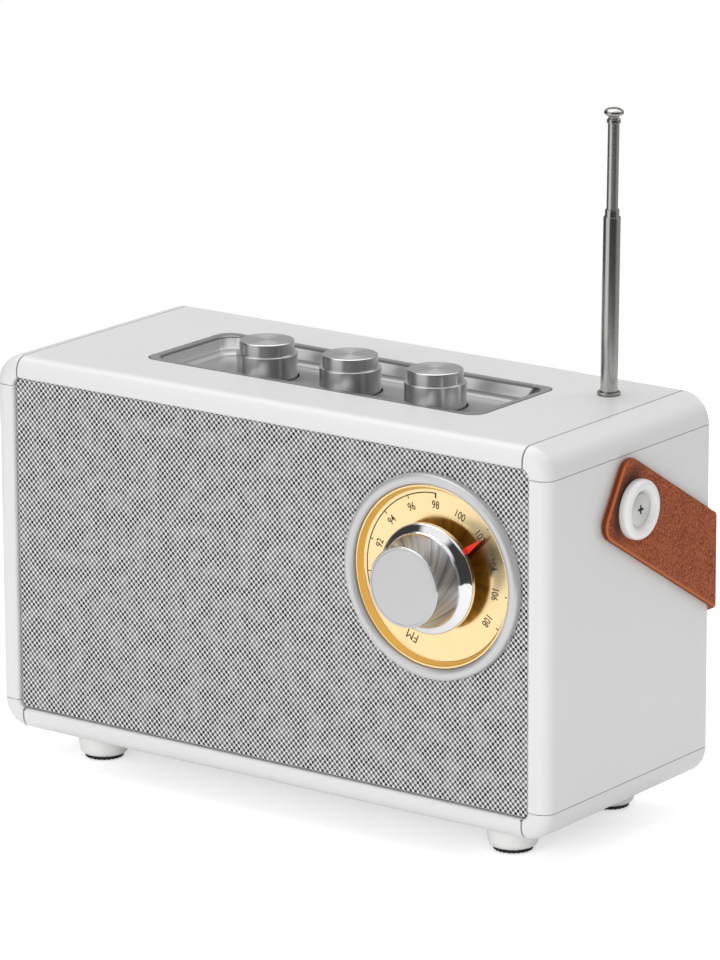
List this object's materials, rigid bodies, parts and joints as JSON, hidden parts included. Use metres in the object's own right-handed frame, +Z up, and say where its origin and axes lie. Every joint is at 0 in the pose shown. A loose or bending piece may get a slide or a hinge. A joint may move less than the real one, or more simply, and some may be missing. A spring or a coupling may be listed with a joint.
{
  "type": "portable radio",
  "caption": "Portable radio with a rounded white cabinet, woven front, round tuning dial, top knobs in a metal tray, telescopic aerial and a leather carrying strap.",
  "frame": {"origin": "on the surface the radio stands on, under the middle of its bounding box", "axes": "+X to the right of someone facing the dial, +Y from the front to the back, +Z up"},
  "size_m": [0.2518, 0.1176, 0.2507],
  "materials": {
    "cabinet_white": "painted, satin",
    "cloth": "coarse weave",
    "fibreboard": "raw",
    "satin_metal": "brushed satin",
    "chrome": "polished",
    "gold": "mirror gold",
    "red_plastic": "gloss",
    "steel": "brushed",
    "leather": "pebbled",
    "white_plastic": "smooth",
    "white_metal": "painted",
    "dark_rubber": "matt",
    "black_plastic": "matt",
    "magnet": "sintered",
    "paper": "pressed pulp",
    "circuit_green": "solder mask",
    "battery_blue": "shrink wrap"
  },
  "bodies": {
    "cabinet": {"top_board": "cabinet_white", "bottom_board": "cabinet_white", "left_board": "cabinet_white", "right_board": "cabinet_white", "corner_top_left": "cabinet_white", "corner_top_right": "cabinet_white", "corner_bottom_left": "cabinet_white", "corner_bottom_right": "cabinet_white", "rear_panel": "black_plastic", "rear_screw_lower_left": "steel", "rear_screw_upper_left": "steel", "rear_screw_lower_right": "steel", "rear_screw_upper_right": "steel", "front_baffle": "fibreboard", "grille_cloth": "cloth", "speaker_frame": "steel", "speaker_cone": "paper", "speaker_magnet": "magnet", "dial_bezel": "satin_metal", "dial_dish": "gold", "tuning_potentiometer": "black_plastic", "control_tray": "satin_metal", "control_plate": "steel", "bass_potentiometer": "black_plastic", "volume_potentiometer": "black_plastic", "treble_potentiometer": "black_plastic", "aerial_collar": "steel", "aerial_tube": "steel", "aerial_clip": "black_plastic", "strap_washer_left": "white_plastic", "strap_washer_right": "white_plastic", "strap_screw_left": "white_metal", "strap_screw_right": "white_metal", "foot_front_left": "white_plastic", "foot_front_right": "white_plastic", "foot_rear_left": "white_plastic", "foot_rear_right": "white_plastic", "foot_pad_front_left": "dark_rubber", "foot_pad_front_right": "dark_rubber", "foot_pad_rear_left": "dark_rubber", "foot_pad_rear_right": "dark_rubber", "main_board": "circuit_green", "power_socket": "steel", "battery_pack": "battery_blue"},
    "tuning": {"tuning_knob": "chrome", "tuning_knob_cap": "satin_metal", "dial_pointer": "red_plastic", "tuning_shaft": "steel"},
    "bass": {"bass_knob": "satin_metal", "bass_shaft": "steel"},
    "volume": {"volume_knob": "satin_metal", "volume_shaft": "steel"},
    "treble": {"treble_knob": "satin_metal", "treble_shaft": "steel"},
    "aerial_first": {"aerial_lower": "steel"},
    "aerial_second": {"aerial_middle": "steel"},
    "aerial_third": {"aerial_upper": "steel"},
    "strap": {"leather_strap": "leather"}
  },
  "joints": [
    {"name": "tuning_turn", "type": "hinge", "parent": "cabinet", "child": "tuning", "pos_m": [0.072, -0.0423, 0.099], "axis": [0, -1, 0], "range_deg": [-68, 172]},
    {"name": "bass_turn", "type": "hinge", "parent": "cabinet", "child": "bass", "pos_m": [-0.0357, 0.0078, 0.1498], "axis": [0, 0, 1], "range_deg": [-150, 150]},
    {"name": "volume_turn", "type": "hinge", "parent": "cabinet", "child": "volume", "pos_m": [0.001, 0.0078, 0.1498], "axis": [0, 0, 1], "range_deg": [-150, 150]},
    {"name": "treble_turn", "type": "hinge", "parent": "cabinet", "child": "treble", "pos_m": [0.0377, 0.0078, 0.1498], "axis": [0, 0, 1], "range_deg": [-150, 150]},
    {"name": "aerial_lower_slide", "type": "slide", "parent": "cabinet", "child": "aerial_first", "axis": [0.014, 0, 0.9999], "range_m": [-0.0612, 0.004]},
    {"name": "aerial_middle_slide", "type": "slide", "parent": "aerial_first", "child": "aerial_second", "axis": [0.014, 0, 0.9999], "range_m": [-0.0015, 0.062]},
    {"name": "aerial_upper_slide", "type": "slide", "parent": "aerial_second", "child": "aerial_third", "axis": [0.014, 0, 0.9999], "range_m": [-0.0282, 0.034]},
    {"name": "strap_swing", "type": "hinge", "parent": "cabinet", "child": "strap", "pos_m": [0, 0.0068, 0.12], "axis": [1, 0, 0], "range_deg": [0, 85], "deforming": ["leather_strap"]}
  ]
}
